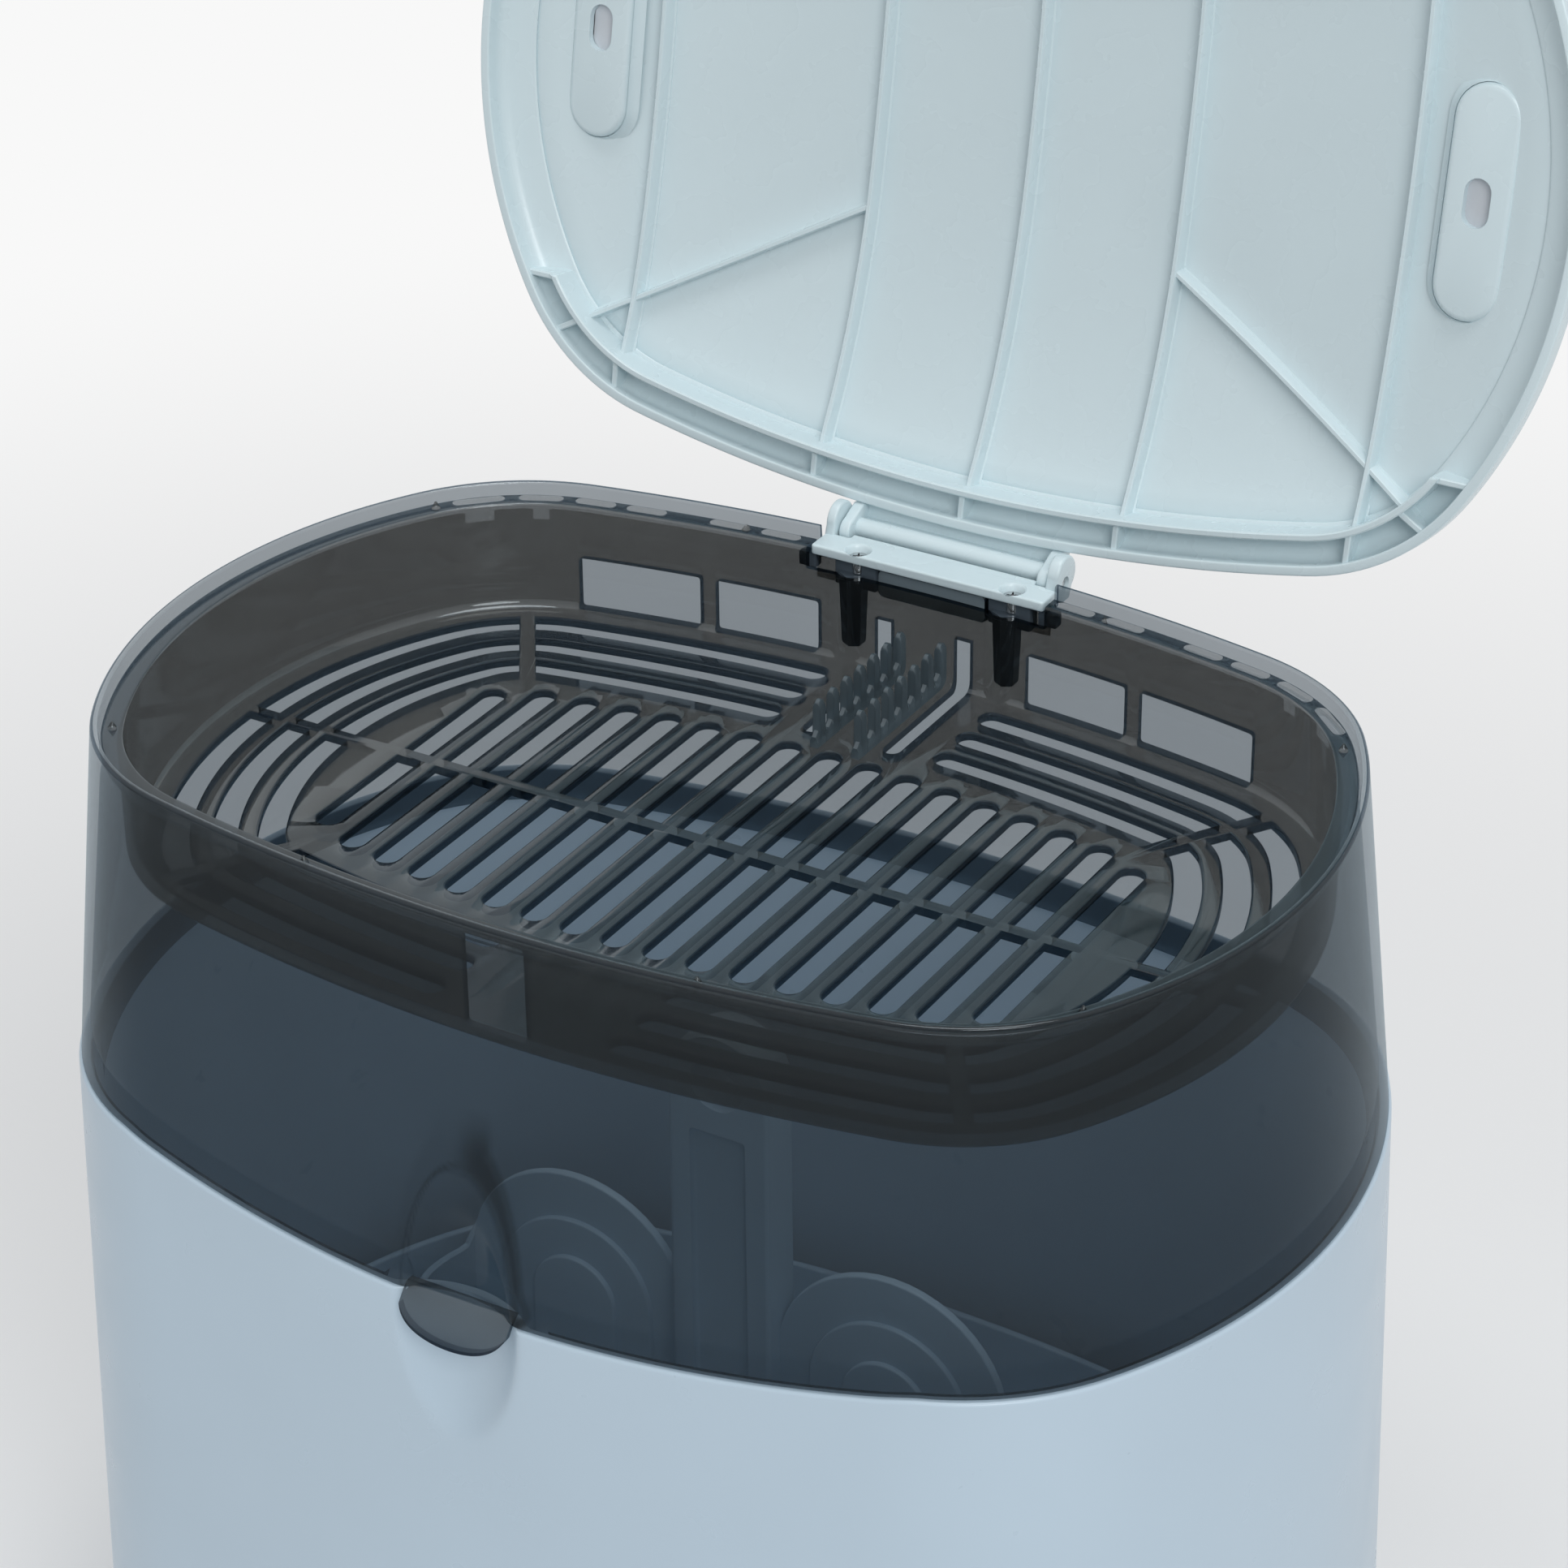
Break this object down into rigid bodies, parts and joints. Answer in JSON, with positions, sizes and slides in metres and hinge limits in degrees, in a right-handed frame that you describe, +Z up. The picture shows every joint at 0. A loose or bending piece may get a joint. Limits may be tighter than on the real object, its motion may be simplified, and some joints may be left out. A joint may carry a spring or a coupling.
{
  "type": "baby bottle steriliser",
  "caption": "Electric steam steriliser with a light blue body, a smoked clear hood, a slotted accessory tray and a hinged ribbed lid standing open",
  "frame": {"origin": "centre of the flat underside of the bottom cover; the feet reach 4 mm below it", "axes": "+Z up, +X to the right facing the front, the front faces -Y, the lid's hinge is at +Y"},
  "size_m": [0.318, 0.2937, 0.5168],
  "materials": {
    "light_blue": "smooth moulded plastic",
    "light_blue_inside": "satin moulded plastic",
    "smoked_clear": "clear smoked plastic",
    "steel": "brushed",
    "dark_plastic": "matte",
    "rubber": "matte",
    "seal": "soft",
    "board": "lacquered board",
    "lens": "clear"
  },
  "bodies": {
    "base": {"body_shell": "light_blue", "bottom_cover": "light_blue_inside", "cover_screw_1": "steel", "cover_screw_2": "steel", "cover_screw_3": "steel", "cover_screw_4": "steel", "foot_front_left": "rubber", "foot_front_right": "rubber", "foot_back_left": "rubber", "foot_back_right": "rubber", "plate_seal": "seal", "heating_plate": "steel", "heater_element": "steel", "thermostat": "dark_plastic", "thermal_fuse": "steel", "control_board": "board", "button_bezel": "steel", "push_switch": "dark_plastic", "indicator_lens": "lens", "cord_gland": "dark_plastic"},
    "button": {"power_button": "light_blue_inside"},
    "basket": {"basket_rack": "light_blue_inside", "lift_post": "light_blue_inside", "bottle_cup_left_front": "light_blue_inside", "bottle_cup_left_back": "light_blue_inside", "bottle_cup_mid_front": "light_blue_inside", "bottle_cup_mid_back": "light_blue_inside", "bottle_cup_right_front": "light_blue_inside", "bottle_cup_right_back": "light_blue_inside"},
    "hood": {"hood": "smoked_clear", "hinge_bracket": "light_blue", "hinge_screw_left": "steel", "hinge_screw_right": "steel", "hinge_pin_left": "steel", "hinge_pin_right": "steel"},
    "tray": {"upper_tray": "smoked_clear"},
    "lid": {"lid": "light_blue"}
  },
  "joints": [
    {"name": "hood_lift", "type": "slide", "parent": "base", "child": "hood", "axis": [0, 0, 1], "range_m": [0, 0.11]},
    {"name": "lid_hinge", "type": "hinge", "parent": "hood", "child": "lid", "pos_m": [0, 0.1025, 0.3171], "axis": [1, 0, 0], "range_deg": [0, 100.5]},
    {"name": "tray_lift", "type": "slide", "parent": "hood", "child": "tray", "axis": [0, 0, 1], "range_m": [0, 0.0028]},
    {"name": "basket_lift", "type": "slide", "parent": "base", "child": "basket", "axis": [0, 0, 1], "range_m": [0, 0.042]},
    {"name": "button_press", "type": "slide", "parent": "base", "child": "button", "axis": [0, 1, 0], "range_m": [0, 0.002], "stiffness_N_per_m": 200}
  ]
}
